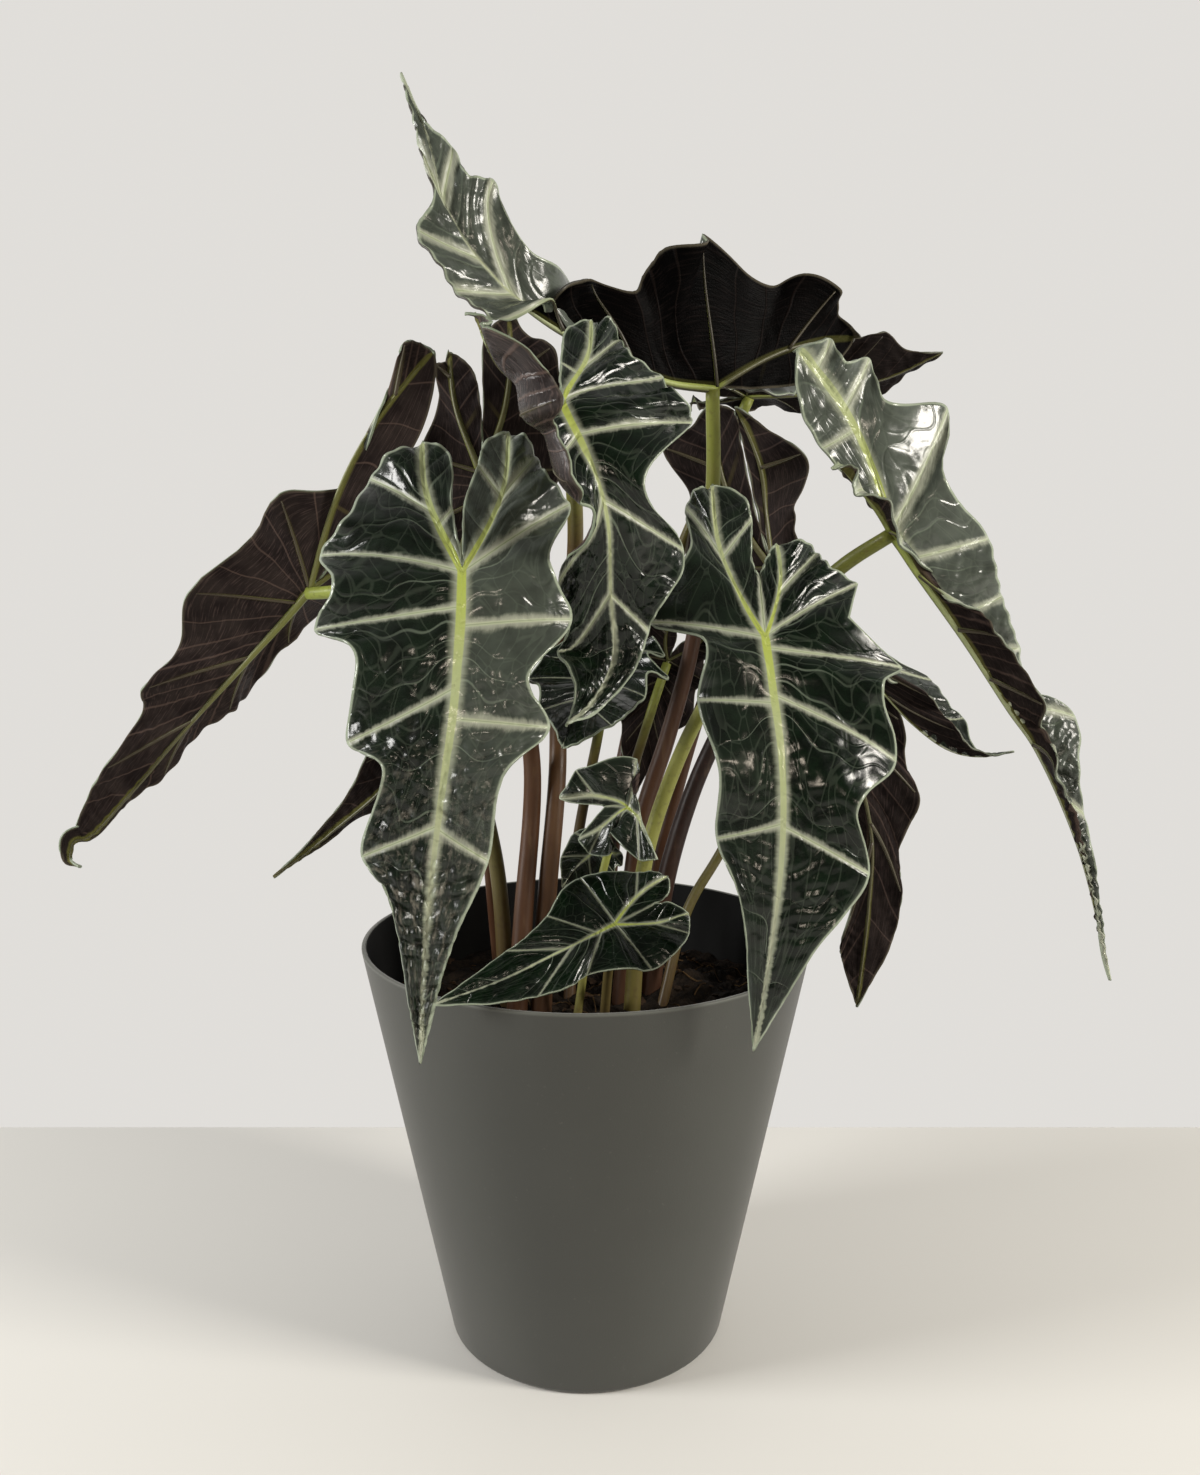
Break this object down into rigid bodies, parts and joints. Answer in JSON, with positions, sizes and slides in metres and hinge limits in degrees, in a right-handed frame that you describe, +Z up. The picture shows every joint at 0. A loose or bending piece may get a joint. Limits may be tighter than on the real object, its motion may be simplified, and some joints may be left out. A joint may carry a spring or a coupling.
{
  "type": "potted polly alocasia",
  "caption": "Potted alocasia with long arrow-shaped, wavy dark leaves and pale veins on upright stalks, in a conical matt grey pot of soil.",
  "frame": {"origin": "centre of the pot's flat underside", "axes": "+Z up from the pot's foot to the top leaf, -Y towards the plant's front, +X to the viewer's right"},
  "size_m": [0.4701, 0.2344, 0.5332],
  "materials": {
    "pot": "matt warm dark grey with a fine grain, lighter worn lip",
    "soil": "rough dark potting soil with bark chips and fibre",
    "leaf_upper": "glossy dark green blade with pale haloed veins and a thin pale rim",
    "leaf_underside": "satin purple-brown underside with yellow-green ribs"
  },
  "bodies": {
    "root": {"pot": "pot", "soil": "soil", "leaf_front_left": "leaf_upper", "leaf_front_right": "leaf_upper", "leaf_centre": "leaf_upper", "leaf_top": "leaf_underside", "leaf_right": "leaf_upper", "leaf_left": "leaf_underside", "leaf_behind_left": "leaf_underside", "leaf_back_right": "leaf_underside", "leaf_behind_top": "leaf_underside", "leaf_low_right": "leaf_underside", "leaf_under_centre": "leaf_upper", "leaf_low_behind": "leaf_underside", "leaf_small_front": "leaf_upper", "leaf_small_middle": "leaf_upper", "leaf_small_shaded": "leaf_upper"}
  },
  "joints": []
}
